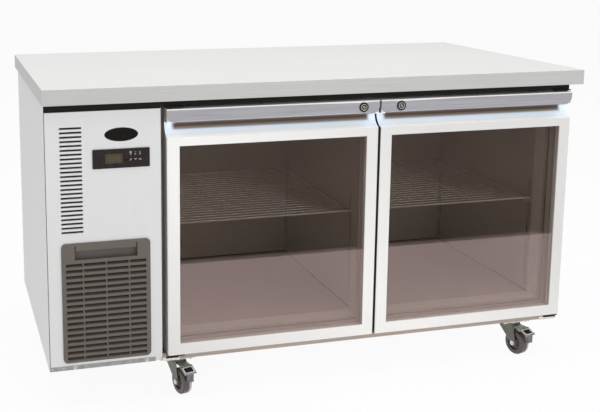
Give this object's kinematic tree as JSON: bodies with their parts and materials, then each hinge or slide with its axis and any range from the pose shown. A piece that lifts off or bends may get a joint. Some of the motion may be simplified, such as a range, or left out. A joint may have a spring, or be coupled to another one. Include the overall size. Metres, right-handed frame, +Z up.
{
  "type": "undercounter refrigerator",
  "caption": "Stainless counter refrigerator with glass doors, a machine compartment with a filter grille and controller at the left, wire shelves inside and braked castors below",
  "frame": {"origin": "on the floor under the middle of the worktop", "axes": "+X to the right along the width, -Y to the front, +Z up"},
  "size_m": [1.5, 0.8, 0.84],
  "materials": {
    "brushed_steel": "satin",
    "pale_steel": "satin",
    "door_frame": "satin",
    "handle": "satin",
    "rigid_foam": "matte",
    "core_board": "matte",
    "black_plastic": "matte",
    "grille_plastic": "satin",
    "grey_rail": "satin",
    "compressor": "gloss",
    "fins": "satin",
    "dark_sheet": "satin",
    "copper": "satin",
    "controller": "gloss",
    "display": "gloss",
    "key": "matte",
    "tinted_glass": "gloss",
    "spacer": "matte",
    "gasket": "matte",
    "zinc": "satin",
    "wheel": "satin",
    "filter_mat": "matte"
  },
  "bodies": {
    "cabinet": {"cabinet_shell": "brushed_steel", "insulation_foam": "rigid_foam", "inner_liner": "brushed_steel", "front_frame": "brushed_steel", "worktop": "brushed_steel", "worktop_core": "core_board", "top_strip": "black_plastic", "machine_side_panel": "brushed_steel", "machine_back_panel": "brushed_steel", "machine_front_panel": "pale_steel", "base_rail": "grey_rail", "machine_tray": "brushed_steel", "compressor": "compressor", "condenser": "fins", "fan_shroud": "dark_sheet", "fan_motors": "dark_sheet", "evaporator": "fins", "evaporator_cover": "brushed_steel", "refrigerant_lines": "copper", "controller": "controller", "display_and_lamps": "display", "left_shelf": "brushed_steel", "right_shelf": "brushed_steel", "shelf_supports": "brushed_steel", "cable_gland": "black_plastic", "panel_screws": "brushed_steel", "hinge_brackets": "zinc", "castor_plates": "zinc"},
    "left_door": {"left_door_frame": "door_frame", "left_door_handle": "handle", "left_door_glass": "tinted_glass", "left_door_spacer": "spacer", "left_door_gasket": "gasket"},
    "left_lock": {"left_lock_barrel": "brushed_steel", "left_lock_cam": "brushed_steel"},
    "right_door": {"right_door_frame": "door_frame", "right_door_handle": "handle", "right_door_glass": "tinted_glass", "right_door_spacer": "spacer", "right_door_gasket": "gasket"},
    "right_lock": {"right_lock_barrel": "brushed_steel", "right_lock_cam": "brushed_steel"},
    "filter": {"filter_grille": "grille_plastic", "filter_mat": "filter_mat"},
    "condenser_fan": {"condenser_fan": "black_plastic"},
    "evaporator_fan": {"evaporator_fan": "black_plastic"},
    "power_key": {"power_key": "key"},
    "set_key": {"set_key": "key"},
    "down_key": {"down_key": "key"},
    "up_key": {"up_key": "key"},
    "front_left_castor": {"front_left_fork": "zinc"},
    "front_left_wheel": {"front_left_wheel": "wheel"},
    "front_left_brake": {"front_left_brake": "zinc"},
    "front_right_castor": {"front_right_fork": "zinc"},
    "front_right_wheel": {"front_right_wheel": "wheel"},
    "front_right_brake": {"front_right_brake": "zinc"},
    "rear_left_castor": {"rear_left_fork": "zinc"},
    "rear_left_wheel": {"rear_left_wheel": "wheel"},
    "rear_right_castor": {"rear_right_fork": "zinc"},
    "rear_right_wheel": {"rear_right_wheel": "wheel"}
  },
  "joints": [
    {"name": "left_door_swing", "type": "hinge", "parent": "cabinet", "child": "left_door", "pos_m": [-0.427, -0.368, 0.45], "axis": [0, 0, -1], "range_deg": [0, 90], "stiffness_Nm_per_rad": 1.5, "springref_deg": -28.65},
    {"name": "right_door_swing", "type": "hinge", "parent": "cabinet", "child": "right_door", "pos_m": [0.712, -0.368, 0.45], "axis": [0, 0, 1], "range_deg": [0, 90], "stiffness_Nm_per_rad": 1.5, "springref_deg": -28.65},
    {"name": "left_lock_turn", "type": "hinge", "parent": "left_door", "child": "left_lock", "pos_m": [0.094, -0.386, 0.761], "axis": [0, 1, 0], "range_deg": [0, 90]},
    {"name": "right_lock_turn", "type": "hinge", "parent": "right_door", "child": "right_lock", "pos_m": [0.202, -0.386, 0.761], "axis": [0, -1, 0], "range_deg": [0, 90]},
    {"name": "filter_pull", "type": "slide", "parent": "cabinet", "child": "filter", "axis": [0, -1, 0], "range_m": [0, 0.12]},
    {"name": "condenser_fan_spin", "type": "hinge", "parent": "cabinet", "child": "condenser_fan", "pos_m": [-0.5995, -0.231, 0.2632], "axis": [0, 1, 0], "continuous": true},
    {"name": "evaporator_fan_spin", "type": "hinge", "parent": "cabinet", "child": "evaporator_fan", "pos_m": [-0.339, 0.15, 0.621], "axis": [1, 0, 0], "continuous": true},
    {"name": "power_key_press", "type": "slide", "parent": "cabinet", "child": "power_key", "axis": [0, 1, 0], "range_m": [0, 0.0008], "stiffness_N_per_m": 800},
    {"name": "set_key_press", "type": "slide", "parent": "cabinet", "child": "set_key", "axis": [0, 1, 0], "range_m": [0, 0.0008], "stiffness_N_per_m": 800},
    {"name": "down_key_press", "type": "slide", "parent": "cabinet", "child": "down_key", "axis": [0, 1, 0], "range_m": [0, 0.0008], "stiffness_N_per_m": 800},
    {"name": "up_key_press", "type": "slide", "parent": "cabinet", "child": "up_key", "axis": [0, 1, 0], "range_m": [0, 0.0008], "stiffness_N_per_m": 800},
    {"name": "front_left_swivel", "type": "hinge", "parent": "cabinet", "child": "front_left_castor", "pos_m": [-0.4, -0.3186, 0.09], "axis": [0, 0, 1], "continuous": true},
    {"name": "front_left_roll", "type": "hinge", "parent": "front_left_castor", "child": "front_left_wheel", "pos_m": [-0.39275, -0.34565, 0.035], "axis": [0.9659, 0.2588, 0], "continuous": true},
    {"name": "front_left_brake_press", "type": "hinge", "parent": "front_left_castor", "child": "front_left_brake", "pos_m": [-0.39689, -0.33019, 0.0812], "axis": [0.9659, 0.2588, 0], "range_deg": [0, 5]},
    {"name": "front_right_swivel", "type": "hinge", "parent": "cabinet", "child": "front_right_castor", "pos_m": [0.612, -0.3186, 0.09], "axis": [0, 0, 1], "continuous": true},
    {"name": "front_right_roll", "type": "hinge", "parent": "front_right_castor", "child": "front_right_wheel", "pos_m": [0.61925, -0.34565, 0.035], "axis": [0.9659, 0.2588, 0], "continuous": true},
    {"name": "front_right_brake_press", "type": "hinge", "parent": "front_right_castor", "child": "front_right_brake", "pos_m": [0.61511, -0.33019, 0.0812], "axis": [0.9659, 0.2588, 0], "range_deg": [0, 5]},
    {"name": "rear_left_swivel", "type": "hinge", "parent": "cabinet", "child": "rear_left_castor", "pos_m": [-0.4, 0.29, 0.09], "axis": [0, 0, 1], "continuous": true},
    {"name": "rear_left_roll", "type": "hinge", "parent": "rear_left_castor", "child": "rear_left_wheel", "pos_m": [-0.39275, 0.26295, 0.035], "axis": [0.9659, 0.2588, 0], "continuous": true},
    {"name": "rear_right_swivel", "type": "hinge", "parent": "cabinet", "child": "rear_right_castor", "pos_m": [0.612, 0.29, 0.09], "axis": [0, 0, 1], "continuous": true},
    {"name": "rear_right_roll", "type": "hinge", "parent": "rear_right_castor", "child": "rear_right_wheel", "pos_m": [0.61925, 0.26295, 0.035], "axis": [0.9659, 0.2588, 0], "continuous": true}
  ]
}
